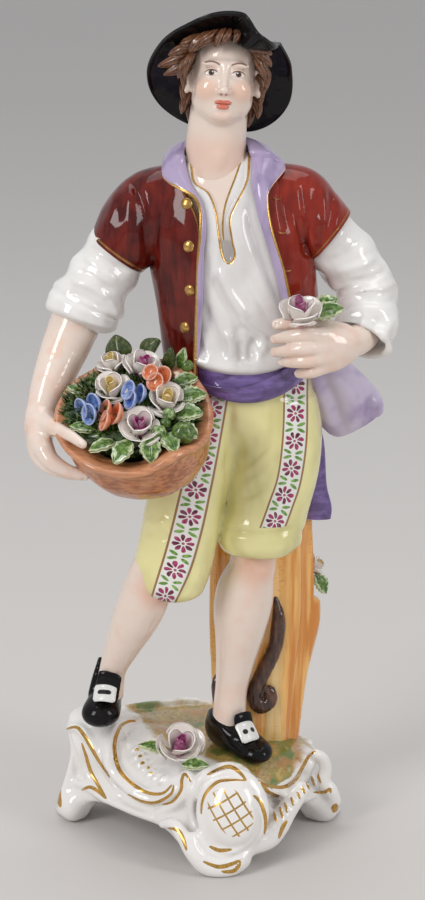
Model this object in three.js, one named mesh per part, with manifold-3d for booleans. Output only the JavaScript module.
// A glazed porcelain figurine of a young flower seller, 250 mm tall, standing on a scrolled base.
// He wears a soft hat, a short sleeved waistcoat over a shirt, a sash and knee breeches. One hand
// holds a rose, the other a basket of flowers, and a fluted trunk behind the leg props him up.
//
// Frame: millimetres, +Z up, the figure faces -Y, and the feet of the base stand on z = 0.
// The figure, the base, the basket and each hand-made flower are moulded on their own and then
// stuck together, so each is its own solid, with a hair of clearance where it touches the next.

import * as THREE from "three";
import { mergeVertices } from "three/addons/utils/BufferGeometryUtils.js";
import Module from "manifold-3d";

const wasm = await Module();
wasm.setup();

// Driving dimensions
const GAP = 0.3; // clearance between pieces that touch
const GROUND_Z = 27.5; // ground that the figure stands on
const WAIST_Z = 147; // middle of the sash
const HEAD = [3.2, -1.6, 234]; // middle of the head
const CROWN_R = 12.3; // radius of the hat's crown where it meets the brim
// radii of its brim from the right, towards the nape first
const BRIM = [20.7, 22.6, 21.6, 17.8, 18.6, 20.8, 21.1, 20.3, 21, 24, 25.4, 20.8]; // every 30 degrees
const HAT_TIP = 59; // degrees that the hat is tipped back
const RIM_R = 22.5; // radius of the basket's rim
const BASKET_TILT = 33; // degrees that the basket leans to the front
const BASKET_AT = [-22.8, -29, 139.7]; // middle of the basket's rim
const BASKET_DEPTH = 16.5; // from the basket's rim to its underside
const FLOOR_R = 17.4; // radius of the basket's underside
const FLOOR_OFF = 2.6; // how far the underside lies to the right of the rim's middle
const MIDDLE = [-0.1, 0.15]; // middle of the whole figurine seen from above, set over the origin
const CLOTH = 1.6; // thickness of the collar's cloth
const UNDER = 2.2; // how deep the waistcoat runs into the body under it

// Numbers and vectors
const TURN = 2 * Math.PI;
const radians = THREE.MathUtils.degToRad;
const smooth = THREE.MathUtils.smoothstep;
const clamp = THREE.MathUtils.clamp;
const vec = (p) => new THREE.Vector3(...p);
const range = (n) => Array.from({ length: n }, (_, i) => i);
const bell = (away) => Math.exp(-away * away);

// A value that runs smoothly through equally spaced keys, for t from 0 to 1.
function along(keys, t) {
  const at = t * (keys.length - 1);
  const i = Math.min(Math.floor(at), keys.length - 2);
  const f = at - i;
  const [a, b, c, d] = [i - 1, i, i + 1, i + 2].map((k) => keys[clamp(k, 0, keys.length - 1)]);
  const [square, cube] = [2 * a - 5 * b + 4 * c - d, 3 * b - a - 3 * c + d];
  return 0.5 * (2 * b + (c - a) * f + square * f * f + cube * f * f * f);
}

// A closed surface over rows of points. Each row is a loop, and a fan closes each end.
function skin(rows) {
  const sides = rows[0].length;
  const last = (rows.length - 1) * sides;
  const points = rows.flat();
  const middle = (row) => row.reduce((sum, p) => sum.add(p), new THREE.Vector3()).divideScalar(sides);
  const start = points.push(middle(rows[0])) - 1;
  const end = points.push(middle(rows[rows.length - 1])) - 1;
  const faces = [];
  for (const j of range(sides)) {
    const k = (j + 1) % sides;
    faces.push(start, k, j, end, last + j, last + k);
    for (let a = 0; a < last; a += sides) {
      const b = a + sides;
      faces.push(a + j, a + k, b + k, a + j, b + k, b + j);
    }
  }
  const geometry = new THREE.BufferGeometry().setFromPoints(points);
  geometry.setIndex(faces);
  return geometry;
}

// A closed three.js geometry as a solid that can be joined and cut, its faces pointing outwards.
function solid(geometry) {
  const bare = geometry.clone();
  bare.deleteAttribute("normal");
  bare.deleteAttribute("uv");
  const merged = mergeVertices(bare, 1e-4);
  const vertProperties = new Float32Array(merged.attributes.position.array);
  const triVerts = new Uint32Array(merged.index.array);
  const make = () => new wasm.Manifold(new wasm.Mesh({ numProp: 3, vertProperties, triVerts }));
  const made = make();
  if (made.volume() > 0) return made;
  for (let i = 0; i < triVerts.length; i += 3) {
    [triVerts[i], triVerts[i + 1]] = [triVerts[i + 1], triVerts[i]];
  }
  return make();
}

const fuse = (solids) => solids.reduce((a, b) => a.add(b));
const cut = (piece, cutters) => cutters.reduce((left, cutter) => left.subtract(cutter), piece);

// A limb or garment lofted along stations [x, y, z, a, b]: a is the half size in the direction
// `across`, square to the path, and b the half size square to both. ripple(angle, t) scales the
// section at an angle, for folds and flutes, and grow makes the whole piece that much larger.
function loft(stations, { sides = 12, rings = 6, across = [1, 0, 0], ripple = () => 1, grow = 0 } = {}) {
  const path = new THREE.CatmullRomCurve3(stations.map((s) => vec(s.slice(0, 3))), false, "catmullrom");
  const rows = range(rings + 1).map((i) => {
    const t = i / rings;
    const forward = path.getTangent(t);
    const centre = path.getPoint(t).addScaledVector(forward, grow * (2 * t - 1));
    const wide = vec(across).addScaledVector(forward, -forward.dot(vec(across))).normalize();
    const deep = forward.clone().cross(wide);
    const a = along(stations.map((s) => s[3]), t);
    const b = along(stations.map((s) => s[4] ?? s[3]), t);
    return range(sides).map((j) => {
      const angle = (j / sides) * TURN;
      const [x, y] = [Math.cos(angle), Math.sin(angle)].map((v) => v * ripple(angle, t));
      return centre.clone().addScaledVector(wide, (a + grow) * x).addScaledVector(deep, (b + grow) * y);
    });
  });
  return solid(skin(rows));
}

// A round tube of changing radius through points [x, y, z, radius], for ridges, fingers and scrolls.
// Its sections start from a direction that none of the tubes here runs along.
const ASKEW = [0.31, 0.17, 0.94];
const tube = (points, { sides = 6, rings = 6, grow = 0 } = {}) =>
  loft(points, { sides, rings, grow, across: ASKEW });

// A sphere stretched to half sizes, turned by Euler angles in degrees and set at a point.
function ball(at, half, turn = [0, 0, 0], detail = [8, 6]) {
  const geometry = new THREE.SphereGeometry(1, ...detail);
  geometry.scale(...half);
  geometry.applyMatrix4(new THREE.Matrix4().makeRotationFromEuler(new THREE.Euler(...turn.map(radians))));
  geometry.translate(...at);
  return solid(geometry);
}

// A sheet of cloth of even thickness between two edges, each given by points from end to end.
function sheet(upper, lower, thickness, across = 8) {
  const edges = [upper, lower].map((points) => new THREE.CatmullRomCurve3(points.map(vec)));
  const rows = range(across + 1).map((i) => {
    const [p, q] = edges.map((edge) => edge.getPoint(i / across));
    const out = edges[0].getTangent(i / across).cross(q.clone().sub(p)).normalize();
    const side = (point, way) => point.clone().addScaledVector(out, (way * thickness) / 2);
    return [side(p, 1), side(q, 1), side(q, -1), side(p, -1)];
  });
  return solid(skin(rows));
}

// Torso: sections of the shirt, level by level, as [x, y, z, half width, half depth].
const TORSO = [
  [10, 0.5, 139, 17.6, 13],
  [9, -0.3, 153, 20, 15.4],
  [7.6, 0, 166, 21, 15.6],
  [6, 0, 179, 21.8, 15.8],
  [4.6, 0.6, 192, 22.8, 14.8],
  [2.6, 1.2, 204, 18.4, 11.4],
  [1.8, 1.2, 212, 8.4, 8],
];

// Deep folds fall from the chest to the sash, and fade out towards the shoulders.
const shirtFold = (angle, t) => 1 + 0.02 * Math.cos(9 * angle + 0.6) * (1 - smooth(t, 0.5, 0.9));
const shirt = () => loft(TORSO, { sides: 16, rings: 5, ripple: shirtFold });

// Column k of the torso's sections at a height, which the clothes over it follow.
function torsoAt(k, z) {
  const i = clamp(TORSO.findIndex((s) => s[2] >= z) - 1, 0, TORSO.length - 2);
  const f = clamp((z - TORSO[i][2]) / (TORSO[i + 1][2] - TORSO[i][2]), 0, 1);
  return along(TORSO.map((s) => s[k]), (i + f) / (TORSO.length - 1));
}

// The waistcoat hangs open: a band of cloth round the back from one front edge to the other.
function waistcoat() {
  // per level: height, angles of its left and right front edges, and how far the cloth stands off
  const levels = [
    [141, -132, -22, 6],
    [152, -128, -42, 4],
    [166, -124, -50, 2.8],
    [180, -121, -56, 2.8],
    [193, -119, -57, 2.9],
    [203, -130, -44, 2.8],
    [209, -150, -22, 2.4],
  ];
  const [rings, sides] = [4, 10];
  const surface = (t, share, inside) => {
    const [z, left, right, off] = range(4).map((k) => along(levels.map((level) => level[k]), t));
    const [x, y, a, b] = [0, 1, 3, 4].map((k) => torsoAt(k, z));
    const angle = radians(right + share * (360 + left - right));
    const stand = inside ? -UNDER : off;
    return vec([x + (a + stand) * Math.cos(angle), y + (b + stand) * Math.sin(angle), z]);
  };
  const rows = range(sides + 1).map((i) => {
    const outside = range(rings + 1).map((k) => surface(k / rings, i / sides, false));
    const inside = range(rings + 1).map((k) => surface(1 - k / rings, i / sides, true));
    return [...outside, ...inside];
  });
  return solid(skin(rows));
}

// Short flared sleeves of the waistcoat, standing off the shirt's sleeves at their open ends.
const capSleeves = () => [
  [[-8, 1, 201.5, 8, 9], [-16, 0.7, 196, 11.8, 11.2], [-22.4, 0.3, 189.6, 11.8, 11.8],
    [-28.4, 0, 182.2, 10.2, 11.2]],
  [[13, 1, 201.5, 8, 9], [22.6, 0.6, 196.5, 12, 11.4], [29, 0.2, 191.6, 10.8, 11.4],
    [34.2, 0, 187.4, 9.4, 10.8]],
].map((stations) => loft(stations, { sides: 10, rings: 3 }));

// Collar and lapels: each side runs from the nape round the neck and down to the front edge.
const collar = () => [
  sheet(
    [[1, 10, 214], [-7.4, 6, 213.6], [-9, -2, 211.6], [-7.4, -9, 207], [-4.2, -15.4, 201]],
    [[1, 13.6, 209], [-11.6, 9, 208.4], [-15.6, 0, 207.4], [-14, -11, 205.4], [-6.4, -16.4, 200]],
    CLOTH, 5),
  sheet(
    [[1, 10, 214], [9.6, 6, 214.6], [11.6, -2, 213], [12.8, -9.6, 208], [15.4, -15.2, 194]],
    [[1, 13.6, 209], [14, 9, 209.4], [19.4, 0, 209.4], [20.6, -11.4, 207.6], [17.8, -15.4, 193.6]],
    CLOTH, 5),
];

// Full shirt sleeves with folds round the arm: one rolled up over the elbow, one with a wide cuff.
const armFold = (angle, t) => 1 + 0.04 * Math.sin(22 * t + 2 * Math.cos(angle + 1));
const sleeves = () => [
  [[-24, 0, 189, 9, 9], [-29, -0.4, 181, 9.6, 9.6], [-33.6, -1.2, 173.6, 9.8, 10],
    [-37.6, -2.4, 166.4, 11.4, 10.4], [-39.8, -3.4, 160.8, 8.6, 8.4]],
  [[28, 0, 192, 9, 9], [36, 1.4, 184, 9.2, 9.6], [43.4, 2.2, 175, 9, 9.6], [46, -1, 167.2, 9, 9.4],
    [45.4, -7, 162, 8.8, 8.4], [43, -12, 158.8, 9.8, 6.6]],
].map((stations) => loft(stations, { sides: 8, rings: 5, ripple: armFold }));

// Hands: each finger is [knuckle, middle, tip], every joint as [x, y, z, radius].
const GRIPPING_HAND = {
  palm: [[-40, -3, 162, 7.6, 7], [-45.6, -9, 150.4, 6.8, 6.4], [-49.6, -16, 141, 5, 5.2],
    [-50.6, -22, 134.4, 4.4, 6.6], [-50, -26, 129.4, 3.6, 6.6]],
  fingers: [
    [[-50.6, -30.6, 131.4, 2.5], [-45.6, -34, 125.6, 2.3], [-37.2, -34, 123.6, 1.7]],
    [[-51, -27.4, 128.8, 2.6], [-45.4, -30, 123, 2.4], [-36.6, -30.6, 121.4, 1.8]],
    [[-50.4, -23.4, 127.4, 2.5], [-45, -26, 122, 2.3], [-37.6, -26.6, 120.4, 1.7]],
    [[-49.4, -19.6, 127.4, 2.3], [-44.4, -21.6, 122.4, 2], [-38.4, -22.4, 121, 1.5]],
  ],
  thumb: [[-49, -23, 137, 3.2], [-44.4, -31.4, 137.4, 2.6], [-40.4, -36.6, 136.6, 2.3],
    [-35.6, -41.6, 134.4, 1.9]],
};
const ROSE_HAND = {
  palm: [[47, -8, 162.4, 5, 5], [42, -15, 159.6, 4.6, 4.2], [36, -20.6, 158.4, 4, 6.2],
    [30.4, -23.6, 157.6, 3.2, 6.8]],
  fingers: [
    [[31, -24.4, 162.4, 2.4], [24, -25, 162.6, 2.1], [16.6, -21.6, 161, 1.6]],
    [[30.4, -25, 159, 2.4], [23.6, -26, 158.6, 2.1], [17.2, -22, 157.4, 1.6]],
    [[30.6, -24.4, 155.8, 2.3], [24.6, -25.4, 155, 2], [19, -21.8, 154.4, 1.6]],
    [[31.6, -23, 153, 2.2], [27.4, -24, 151.6, 1.9], [23.2, -21.4, 150.8, 1.5]],
  ],
  thumb: [[35.4, -18, 162.4, 2.9], [27, -19.4, 165, 2.4], [21.4, -19.8, 165.6, 2.1],
    [16.4, -19.4, 165.4, 1.6]],
};

const hand = ({ palm, fingers, thumb }, grow = 0) =>
  fuse([
    loft(palm, { sides: 7, rings: 4, across: [0.3, -0.1, 0.2], grow }),
    ...fingers.map((finger) => tube(finger, { sides: 5, rings: 2, grow })),
    tube(thumb, { sides: 5, rings: 2, grow }),
  ]);

// Neck and head, leaning back a little with the chin forward, and the locks of hair round the face.
function neckAndHead() {
  const [x, , z] = HEAD;
  const neck = loft([
    [1.2, 1.4, 206, 9.2], [1.2, 0.6, 214, 8.1], [1.8, 0, 220, 7.9], [2.8, 0, 227, 7.8],
  ], { sides: 10, rings: 2 });
  const head = loft([
    [x - 0.3, -7.4, z - 14, 3, 3], [x - 0.2, -5.8, z - 12, 6.2, 6.4], [x, -3.6, z - 7.5, 8.8, 9.6],
    [x, -2, z - 1, 9.8, 11.4], [x, -0.6, z + 6, 9.9, 11.6], [x, 1, z + 11.5, 7, 8.4],
    [x, 1.8, z + 14, 2.6, 3],
  ], { sides: 10, rings: 6 });
  const nose = loft([
    [x, -12, z + 1, 0.9], [x, -14.4, z - 2.8, 1.4], [x, -13.6, z - 5, 1.6], [x, -11, z - 5.4, 1],
  ], { sides: 4, rings: 2 });
  const ears = [-1, 1].map((side) =>
    ball([x + side * 9.8, -0.4, z - 3.6], [1.2, 2.2, 3.4], [0, side * 12, 0], [5, 3]));
  return fuse([neck, head, nose, ...ears]);
}

function hair() {
  const [x, , z] = HEAD;
  const curls = [
    [[-12, -1.4, 3], [4.6, 4.6, 4.6]], [[-6.6, -8, 8], [4.4, 4, 4]], [[1, -9.6, 9.6], [5.6, 3.6, 3.4]],
    [[8.2, -6, 7], [3.6, 4.4, 4]], [[10.2, -0.6, 0.4], [2.4, 4.6, 6.4]], [[-8.4, 4.6, -9], [3, 4, 4.6]],
    [[0, 8, -9], [7.4, 3.8, 5.4]], [[8.4, 4.6, -9], [3, 4, 4.6]],
  ];
  return fuse(curls.map(([[dx, y, dz], half]) => ball([x + dx, y, z + dz], half, [0, 0, 0], [5, 3])));
}

// The hat is turned about its own axis, crown up, then tipped back over the nape. Its brim has an
// outline of its own, waves a little, and one side of its front is folded down over the forehead.
const FOLD = { left: [0, 6], right: [13, 22], edge: [-14.4, -11.8], depth: 7.5, slant: 0.6 };

function folded(x, y) {
  const start = x + FOLD.slant * (y - FOLD.edge[1]);
  const across = smooth(start, ...FOLD.left) * (1 - smooth(x, ...FOLD.right));
  return FOLD.depth * across * (1 - smooth(y, ...FOLD.edge));
}

function hat() {
  // share of the crown's radius, share of the way out to the brim's edge, and height, from the
  // crown's top over the brim to its underside
  const profile = [
    [0.5, 0, 14.4], [0.87, 0, 11], [1, 0, 4], [1, 0.3, 0.8], [1, 1, -1.2], [1, 0.97, -2.8], [1, 0.4, -1.2],
    [0.75, 0, -0.6], [0.3, 0, 0],
  ];
  const sides = 16;
  const rows = profile.map(([crown, out, height]) => range(sides).map((j) => {
    const angle = (j / sides) * TURN;
    const radius = crown * CROWN_R + out * (along([...BRIM, BRIM[0]], j / sides) - CROWN_R);
    const [x, y] = [radius * Math.cos(angle), radius * Math.sin(angle)];
    return vec([x, y, height + 1.7 * out * Math.cos(2 * angle) - folded(x, y)]);
  }));
  const geometry = skin(rows);
  geometry.rotateX(-radians(HAT_TIP));
  geometry.translate(HEAD[0] - 1, HEAD[1] + 3.4, HEAD[2] + 0.8);
  return solid(geometry);
}

// Knee breeches with rolled hems, the sash round the waist and its end hanging behind.
const cuffRoll = (start) => (angle, t) =>
  1 + 0.05 * smooth(t, start, start + 0.1) * Math.sin((t - start) * 9);
const breeches = () => fuse([
  loft([[6, 1.4, 126, 10, 9], [9, 0.6, 133, 20.6, 14], [10, 0.4, 140, 20.4, 14.4], [9.6, 0, 148, 18, 14]],
    { sides: 14, rings: 3 }),
  loft([[19, 0.6, 139, 12, 13], [19.2, 0, 127, 13.9, 13.6], [18.2, -0.8, 115, 13.2, 12.6],
    [16, -2, 103, 12.4, 12], [14, -3, 96, 12.6, 12], [13.6, -3.2, 91, 10, 9.6]],
  { sides: 10, rings: 6, ripple: cuffRoll(0.72) }),
  loft([[0, 0, 139, 14.4, 13.4], [-3.6, -1.4, 127, 13, 13.2], [-6.4, -3.6, 115, 11.8, 12.6],
    [-9, -6, 102, 11.6, 12], [-11, -8, 89, 11, 11.4], [-12, -9.4, 80.6, 7.8, 8.6]],
  { sides: 10, rings: 6, ripple: cuffRoll(0.8) }),
]);

const sash = () => loft([
  [10, 0, WAIST_Z - 6, 19.4, 15.6], [10, -0.3, WAIST_Z - 4, 21.6, 17], [9.6, -0.4, WAIST_Z + 3, 21, 16.8],
  [9.2, 0, WAIST_Z + 5, 19, 14.6],
], { sides: 14, rings: 3 });

const sashEnd = () => loft([
  [27, 9, 134, 3, 2.4], [30.6, 11, 122, 3.2, 2.6], [31.4, 11.4, 108, 3.4, 2.4], [31.6, 11.4, 97, 4, 2.2],
], { sides: 6, rings: 3 });

// The waistcoat's skirt swings out over the hip in one broad fold.
const skirt = () => loft([
  [25, 2, 152, 6, 4], [31, 5, 145, 8.4, 4.8], [37.6, 8.4, 137.6, 9.6, 4.8], [43, 11, 130.6, 9.6, 4.2],
  [45.6, 12.4, 126.6, 7.4, 2.8],
], { sides: 8, rings: 5, across: [0.78, 0, 0.62] });

// Legs down to the ankles, and buckled shoes with a high tongue, one flat and one stepping up.
const legs = () => [
  loft([[14, -1, 100, 8, 8], [12.4, -1.4, 89, 7.8, 8], [10.4, -0.4, 76, 9, 9], [8.8, 0.4, 65, 8.2, 8.8],
    [6.4, 0.2, 53, 5.6, 6.4], [5.4, -0.4, 44, 5, 5.4], [5, -1, 35, 5.4, 6]], { sides: 8, rings: 5 }),
  loft([[-11.4, -7.4, 97, 7, 7], [-17.8, -8.4, 85, 7.6, 8], [-22.8, -6.2, 72.4, 7.2, 7.6],
    [-26.6, -2.6, 62, 5.8, 6.6], [-30, 0.6, 52.4, 4.1, 4.8], [-31.6, 1.6, 44, 4.6, 5.6]],
  { sides: 8, rings: 4 }),
];

// A shoe lofted from heel to toe. Its sections are half widths and half heights about the path.
const SHOES = [
  { sole: [[-1.6, 4.4, 32.4, 3.4, 4.6], [1.2, 1, 33.2, 5, 6.4], [5.4, -3, 32.6, 5.6, 5.6],
    [9.6, -7.4, 31, 5.8, 4.2], [14, -12.4, 29.8, 5.2, 3], [17.2, -16, 29.2, 2.6, 2]],
  buckle: [9.4, -8.6, 36, -42], tongue: [[5.4, -5.4, 35, 4.4, 2], [4.8, -6.6, 41, 3.6, 1.2]] },
  { sole: [[-30.4, 15.4, 40.6, 3.2, 4.4], [-31, 11.4, 41, 4.8, 6], [-32, 5.4, 41, 5.6, 6],
    [-33, -0.6, 40.6, 6.2, 5.4], [-34, -6.4, 39.8, 6.2, 4.2], [-34.4, -10.6, 39, 3.4, 2.4]],
  buckle: [-32.6, -3.6, 45.8, 6], tongue: [[-31.8, -1, 46, 4.6, 2], [-31, -1.6, 53, 4.2, 1.2]] },
];

const shoe = ({ sole, buckle: [x, y, z, turn], tongue }, grow = 0) => fuse([
  loft(sole, { sides: 8, rings: 5, grow }),
  loft(tongue, { sides: 6, rings: 1, grow }),
  ball([x, y, z], [4 + grow, 2.6 + grow, 1.6 + grow], [26, 0, turn], [6, 3]),
]);

// The fluted trunk, with a side rib and a scroll that curls at its foot.
const FLUTES = 7;
const flute = (angle) => 1 + 0.05 * Math.cos(FLUTES * angle);
const trunk = (grow = 0) => fuse([
  loft([[12.8, 14.6, GROUND_Z - 7, 12.6, 9.4], [13.6, 15, 44, 14.2, 9.6], [14.6, 15.6, 64, 15.8, 10],
    [15, 15, 84, 15.6, 9.6], [15.4, 12.6, 104, 14, 9], [16, 8, 122, 11, 7]],
  { sides: 2 * FLUTES, rings: 4, ripple: flute, grow }),
  loft([[23.2, 13.6, GROUND_Z - 7, 3.4], [26, 15.6, 44, 3.6], [29.6, 17, 62, 4], [31, 17.6, 70.4, 2.6]],
    { sides: 6, rings: 3, grow }),
]);

const trunkScrolls = () => [
  tube([[19.4, 6.6, 72, 1.2], [20, 6, 64, 2.4], [18, 5.4, 54, 2.4], [13.6, 4.8, 45, 2.6],
    [12.4, 4.6, 38, 2.6], [15.6, 4.4, 35, 2.4], [18, 4.8, 38.6, 2.2], [16.4, 4.8, 42, 1.6]],
  { sides: 4, rings: 8 }),
  tube([[1.4, 9, 58, 1.2], [0.6, 8, 50, 2.2], [2.6, 7, 42, 2.2]], { sides: 5, rings: 2 }),
];

// The basket, its axis up through the rim before it is leaned over. Its soft lip rises in two
// waves and its underside sits off centre. fill closes the hollow.
const LIP_WAVES = [
  { angle: 52, spread: 26, rise: 3.4 },
  { angle: 305, spread: 22, rise: 4 },
];
const BASKET_WALL = 1.6;

function basket({ grow = 0, fill = false } = {}) {
  const [rim, floor, depth] = [RIM_R, FLOOR_R, BASKET_DEPTH].map((size) => size + grow);
  const wall = BASKET_WALL + 2 * grow;
  const outside = [
    [floor, -depth], [floor + 3.2, -depth * 0.6], [rim - 0.8, -2.4], [rim + 0.6, -1.2], [rim, grow],
  ];
  const inside = [
    [rim - wall, grow], [rim - wall - 1.4, -3], [floor + 2.4 - wall, -depth * 0.6],
    [floor - wall, wall - depth],
  ];
  const sides = 18;
  const lift = (angle) => LIP_WAVES.reduce((sum, wave) => {
    const away = angle - radians(wave.angle);
    return sum + wave.rise * bell(Math.atan2(Math.sin(away), Math.cos(away)) / radians(wave.spread));
  }, 0);
  const rows = (fill ? outside : [...outside, ...inside]).map(([radius, z]) => range(sides).map((j) => {
    const angle = (j / sides) * TURN;
    const off = (FLOOR_OFF * -z) / BASKET_DEPTH;
    const rise = lift(angle) * smooth(z, -depth * 0.6, 0);
    return vec([radius * Math.cos(angle) + off, radius * Math.sin(angle), z + rise]);
  }));
  const geometry = skin(rows);
  geometry.rotateX(radians(BASKET_TILT));
  geometry.translate(...BASKET_AT);
  return solid(geometry);
}

// A place in the basket: along the rim plane in x and back, and above it.
const inBasket = (x, back, up) => {
  const [c, s] = [Math.cos(radians(BASKET_TILT)), Math.sin(radians(BASKET_TILT))];
  return [BASKET_AT[0] + x, BASKET_AT[1] + back * c - up * s, BASKET_AT[2] + back * s + up * c];
};

// Flowers turned from levels [share of radius, height, depth of the cuts between the petals].
const PETALS = 5;
const ROSE = [[0.5, -0.7, 0], [1, 0.12, 0.12], [0.64, 0, 0.04], [0.5, 0.5, 0.14], [0.2, 0.3, 0]];
const SMALL_FLOWER = [[0.4, -0.6, 0], [0.98, 0.3, 0.16], [0.3, -0.1, 0]];

function flower({ at, r, turn, levels }, grow = 0) {
  const sides = 2 * PETALS;
  const geometry = skin(levels.map(([share, height, depth], i) => range(sides).map((j) => {
    const angle = (j / sides) * TURN;
    const radius = r * share * (1 + depth * Math.cos(PETALS * angle)) + grow;
    const z = r * height + (i === 0 ? -grow : grow);
    return vec([radius * Math.cos(angle), radius * Math.sin(angle), z]);
  })));
  return placed(geometry, turn, at);
}

function placed(geometry, turn, at) {
  geometry.applyMatrix4(new THREE.Matrix4().makeRotationFromEuler(new THREE.Euler(...turn.map(radians))));
  geometry.translate(...at);
  return solid(geometry);
}

// A leaf from its stalk to its tip, widest in the middle and lying flat to `up`.
function leaf({ from, to, wide = 2.6, up = [0, -0.5, 0.9] }, grow = 0) {
  const flat = vec(to).sub(vec(from)).cross(vec(up)).normalize().toArray();
  const middle = vec(from).lerp(vec(to), 0.55).toArray();
  return loft([[...from, 0.8, 0.9], [...middle, wide, 1.1], [...to, 0.5, 0.5]],
    { sides: 4, rings: 2, across: flat, grow });
}

// Flowers: middle, radius and the Euler turn of each from facing straight up
const ROSES = {
  rose_1: { at: inBasket(-6.4, 15.6, 6), r: 4.5, turn: [20, -14, 0] },
  rose_2: { at: inBasket(2.6, 13.4, 7.2), r: 5.6, turn: [26, 14, 20] },
  rose_3: { at: inBasket(-6, 5.4, 6.2), r: 5.8, turn: [36, -8, 40] },
  rose_4: { at: inBasket(9.6, 0.8, 6.2), r: 6, turn: [38, 10, 60] },
  rose_5: { at: inBasket(2.2, -8.6, 5.4), r: 6.2, turn: [46, 0, 10] },
  hand_rose: { at: [25, -26.4, 169], r: 6.4, turn: [24, 0, 15] },
  base_rose: { at: [-9.4, -17.6, 31.6], r: 6, turn: [34, 12, 30] },
  trunk_rose: { at: [33, 18.6, 79.6], r: 3.8, turn: [10, 70, 0] },
};
const SMALL_FLOWERS = {
  orange_flower_1: { at: inBasket(6.4, 6.6, 10), r: 3.6, turn: [34, 20, 0] },
  orange_flower_2: { at: inBasket(-6.6, -5.2, 6.2), r: 3.9, turn: [36, -14, 0] },
  blue_flower_1: { at: inBasket(-12.4, -1.6, 5), r: 3.8, turn: [36, -20, 30] },
  blue_flower_2: { at: inBasket(0.2, 0.2, 9.2), r: 3.5, turn: [38, 0, 30] },
};

// Leaves: directions round the basket and how high each tip stands, and the ends of the others
const RIM_LEAVES = [
  [14, 3.4], [54, 6], [76, 7.6], [102, 8], [200, 1.8], [230, 2], [258, 2.2], [288, 2.8], [324, 4], [354, 3.6],
];
const LEAVES = {
  hand_leaf_1: { from: [29, -22.6, 168], to: [37, -20.4, 168.6] },
  hand_leaf_2: { from: [29, -19.6, 170.6], to: [34.6, -17.4, 174] },
  base_leaf_1: { from: [-14.6, -17.6, 30], to: [-22.6, -19.4, 30.6] },
  base_leaf_2: { from: [-4.6, -18.6, 30], to: [2.6, -20.6, 30.4] },
  trunk_leaf: { from: [32.6, 18, 76.4], to: [35.4, 18.8, 69.6], wide: 2.2, up: [1, 0, 0.2] },
};

// Moss heaped in the basket with leaves that spread over its rim.
function foliage() {
  const leaves = RIM_LEAVES.map(([degrees, up]) => {
    const [x, back] = [Math.cos(radians(degrees)), Math.sin(radians(degrees))];
    const [start, end] = [11, 17.4 + 0.9 * up];
    const from = inBasket(start * x, start * back, 0.6);
    return leaf({ from, to: inBasket(end * x, end * back, up), wide: 3.2 });
  });
  return fuse([ball(inBasket(0.8, 0, -4.2), [18, 18.2, 7.8], [BASKET_TILT, 0, 0], [10, 4]), ...leaves]);
}

// The base. Its outline swells at four corners and its rim sags between them. At each corner the
// wall runs down into a foot, `foot` wide in radians, that stands out by `reach`.
const BASE_AT = [-4, 5];
const CORNERS = {
  right: { angle: 10, swell: 8.2, rise: -6.4, ground: -3, reach: 7.6, foot: 0.24, drop: 1 },
  back: { angle: 100, swell: 8.4, rise: 0, ground: 0, reach: 4, foot: 0.24, drop: 1 },
  left: { angle: 170, swell: 12.4, rise: 5.4, ground: 6.8, reach: 4.6, foot: 0.22, drop: 1 },
  front: { angle: -80, swell: 5, rise: 0, ground: 0, reach: 7.4, foot: 0.32, drop: 1 },
};
const SAGS = {
  front_left: { angle: -131, depth: 7, swell: 0 },
  front_right: { angle: -38, depth: 6.4, swell: 2.6 },
  back_right: { angle: 50, depth: 3, swell: 0 },
  back_left: { angle: 140, depth: 3, swell: 0 },
};
const BASE_R = 30.5; // radius of the outline between the corners
const SPREAD = 0.42; // how far each swelling or sag runs round the base, in radians
const FOOT_DROP = 14.5; // from the wall's lower edge to just below the plane that the soles are cut on

const footWidth = (corner) => corner.foot;

// The sum of one size over the corners or the sags, each fading away from its own direction.
const around = (places, angle, key, spread = () => SPREAD) => Object.values(places).reduce((sum, place) => {
  const away = angle - radians(place.angle);
  return sum + place[key] * bell(Math.atan2(Math.sin(away), Math.cos(away)) / spread(place));
}, 0);

// A place on the base: its direction, how far inside the outline it is, and its height.
function atBase(angle, inset, z) {
  const radius = BASE_R + around(CORNERS, angle, "swell") + around(SAGS, angle, "swell") - inset;
  return [BASE_AT[0] + radius * Math.cos(angle), BASE_AT[1] + radius * Math.sin(angle), z];
}

// Inset and height of the base, from the hollow underside over the wall and rim to the ground.
// Then the share that each level takes of the rim's sag, of the corners' rise, of the rise of the
// ground beside them, of the feet's drop and of their reach.
const BASE_LEVELS = [
  [20, 12, 0, 0, 0, 0, 0],
  [9.6, 11.4, 0, 0, 0, 0.2, 0],
  [7, 10.4, 0, 0, 0, 1, 0.5],
  [2.2, 10, 0, 0, 0, 1, 0.9],
  [1.6, 13.4, 0.1, 0, 0, 0.7, 1],
  [3.4, 18, 0.4, 0.3, 0, 0.3, 0.2],
  [1.2, 24.4, 0.8, 0.7, 0, 0, 0],
  [2.2, 28.6, 1, 1, 0, 0, 0],
  [9, 28.2, 0.3, 0, 1, 0, 0],
  [17, GROUND_Z, 0, 0, 0.4, 0, 0],
];

function baseBody() {
  const sides = 32;
  return solid(skin(BASE_LEVELS.map(([inset, z, ...shares]) => range(sides).map((j) => {
    const angle = (j / sides) * TURN;
    const effects = [
      -around(SAGS, angle, "depth"), around(CORNERS, angle, "rise"), around(CORNERS, angle, "ground"),
      -FOOT_DROP * around(CORNERS, angle, "drop", footWidth),
    ];
    const lift = effects.reduce((sum, effect, i) => sum + shares[i] * effect, 0);
    return vec(atBase(angle, inset - shares[4] * around(CORNERS, angle, "reach", footWidth), z + lift));
  }))));
}

// A scroll raised on the wall, through [degrees round the base, inset, height, radius].
const wallScroll = (points) => {
  const path = points.map(([degrees, inset, z, r]) => [...atBase(radians(degrees), inset, z), r]);
  return tube(path, { sides: 4, rings: 4 });
};

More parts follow.
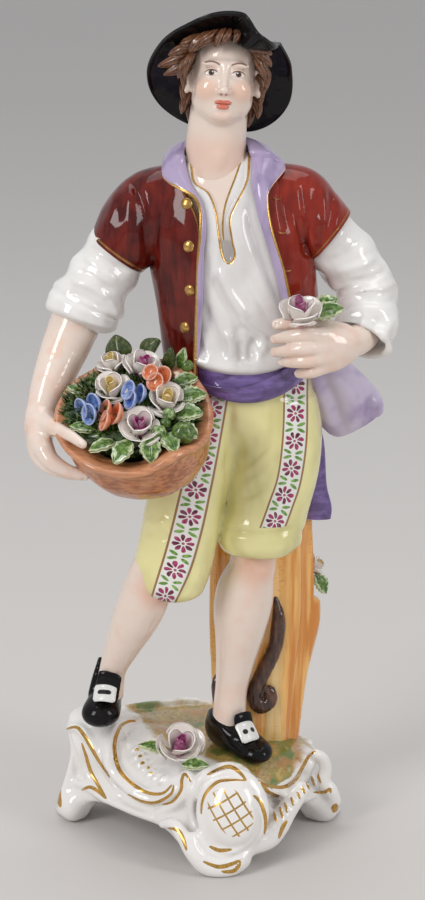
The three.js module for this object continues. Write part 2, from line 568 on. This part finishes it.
const SCROLLS = [
  // the sides, each a long shallow C between two corners
  [[170, 11, 32, 1.2], [196, 6, 30, 1.8], [216, 1.6, 23, 1.9], [239, 1.4, 19.6, 1.9], [259, 2, 26, 1.3]],
  [[-62, 1.4, 26.6, 1.4], [-41, 1.4, 20.4, 1.8], [-20, 2, 19, 1.8], [-4, 2.6, 20, 1.2]],
  [[18, 1.6, 21.6, 1.3], [38, 1.6, 21, 1.8], [62, 1.6, 22.6, 1.8], [84, 1.6, 27, 1.3]],
  [[118, 1.6, 27, 1.3], [134, 1.8, 23, 1.8], [150, 1.8, 23, 1.8], [164, 1.6, 27, 1.3]],
  // down the outer side of the raised corner
  [[178, 0.8, 30, 1.4], [186, 1, 26, 1.8], [192, 2.6, 20, 1.8], [196, 3.4, 13, 1.4]],
];

// An oval boss in a raised frame, leaning back. It faces the front or the back, as `face` is -1 or 1.
// Its levels are shares of the oval, and how far each stands out.
const BOSS_LEVELS = [[0.84, -5], [1, 2.6], [0.93, 4.4], [0.8, 3.4], [0.42, 5]];
const BOSSES = [
  { at: [5.4, -31, 19.2], half: [11, 12.6], face: -1 },
  { at: [-11, 41.6, 18], half: [10, 10.4], face: 1 },
];
const BOSS_LEAN = 17; // degrees

function boss({ at: [x, y, z], half: [a, c], face }) {
  const [sine, cosine] = [Math.sin(radians(BOSS_LEAN)), Math.cos(radians(BOSS_LEAN))];
  const sides = 10;
  return solid(skin(BOSS_LEVELS.map(([share, out]) => range(sides).map((i) => {
    const angle = (i / sides) * TURN;
    const [right, up] = [a * share * Math.cos(angle), c * share * Math.sin(angle)];
    return vec([x + right, y + face * (out * cosine - up * sine), z + out * sine + up * cosine]);
  }))));
}

function base() {
  const below = new THREE.BoxGeometry(200, 200, 40);
  below.translate(0, 0, -20);
  const whole = fuse([baseBody(), ...BOSSES.map(boss), ...SCROLLS.map(wallScroll)]);
  return cut(whole, [solid(below), trunk(GAP), ...SHOES.map((spec) => shoe(spec, GAP))]);
}

function figure() {
  const body = fuse([
    shirt(), waistcoat(), ...capSleeves(), ...collar(), ...sleeves(), neckAndHead(), hair(), hat(),
  ]);
  const lower = fuse([
    breeches(), sash(), sashEnd(), skirt(), ...legs(), ...SHOES.map((spec) => shoe(spec)), trunk(),
    ...trunkScrolls(),
  ]);
  return fuse([body, lower, hand(GRIPPING_HAND), hand(ROSE_HAND)]);
}

// Pieces that touch are trimmed back from each other, the flowers staying whole where they can.
function pieces() {
  const made = {};
  const grown = {};
  for (const [specs, levels] of [[ROSES, ROSE], [SMALL_FLOWERS, SMALL_FLOWER]]) {
    for (const [name, spec] of Object.entries(specs)) {
      made[name] = cut(flower({ ...spec, levels }), Object.values(grown));
      grown[name] = flower({ ...spec, levels }, GAP);
    }
  }
  const flowers = Object.values(grown);
  made.basket = basket();
  made.basket_foliage = cut(foliage(), [hand(GRIPPING_HAND, GAP), ...flowers]);
  for (const [name, spec] of Object.entries(LEAVES)) made[name] = cut(leaf(spec), flowers);
  const leaves = Object.values(LEAVES).map((spec) => leaf(spec, GAP));
  made.figure = cut(figure(), [basket({ grow: GAP, fill: true }), ...flowers, ...leaves]);
  made.base = cut(base(), [...flowers, ...leaves]);
  return made;
}

// Glazes and paints: colour and roughness of each piece
const PAINTS = {
  figure: ["#d8cfc8", 0.18],
  base: ["#efece7", 0.14],
  basket: ["#b5714b", 0.3],
  basket_foliage: ["#4f6b34", 0.35],
  orange: ["#d9683a", 0.25],
  blue: ["#4f78b8", 0.25],
  leaf: ["#6f8f4a", 0.3],
  rose: ["#efe6df", 0.2],
};
const SHARED_PAINTS = ["orange", "blue", "leaf", "rose"];
const paintOf = (name) => PAINTS[name] ?? PAINTS[SHARED_PAINTS.find((key) => name.includes(key))];

const part = new THREE.Group();
for (const [name, made] of Object.entries(pieces())) {
  const { vertProperties, triVerts } = made.getMesh();
  const geometry = new THREE.BufferGeometry();
  geometry.setAttribute("position", new THREE.BufferAttribute(vertProperties, 3));
  geometry.setIndex(new THREE.BufferAttribute(triVerts, 1));
  geometry.translate(-MIDDLE[0], -MIDDLE[1], 0);
  const [color, roughness] = paintOf(name);
  const mesh = new THREE.Mesh(geometry, new THREE.MeshStandardMaterial({ color, roughness, metalness: 0 }));
  mesh.name = name;
  part.add(mesh);
}

export default part;
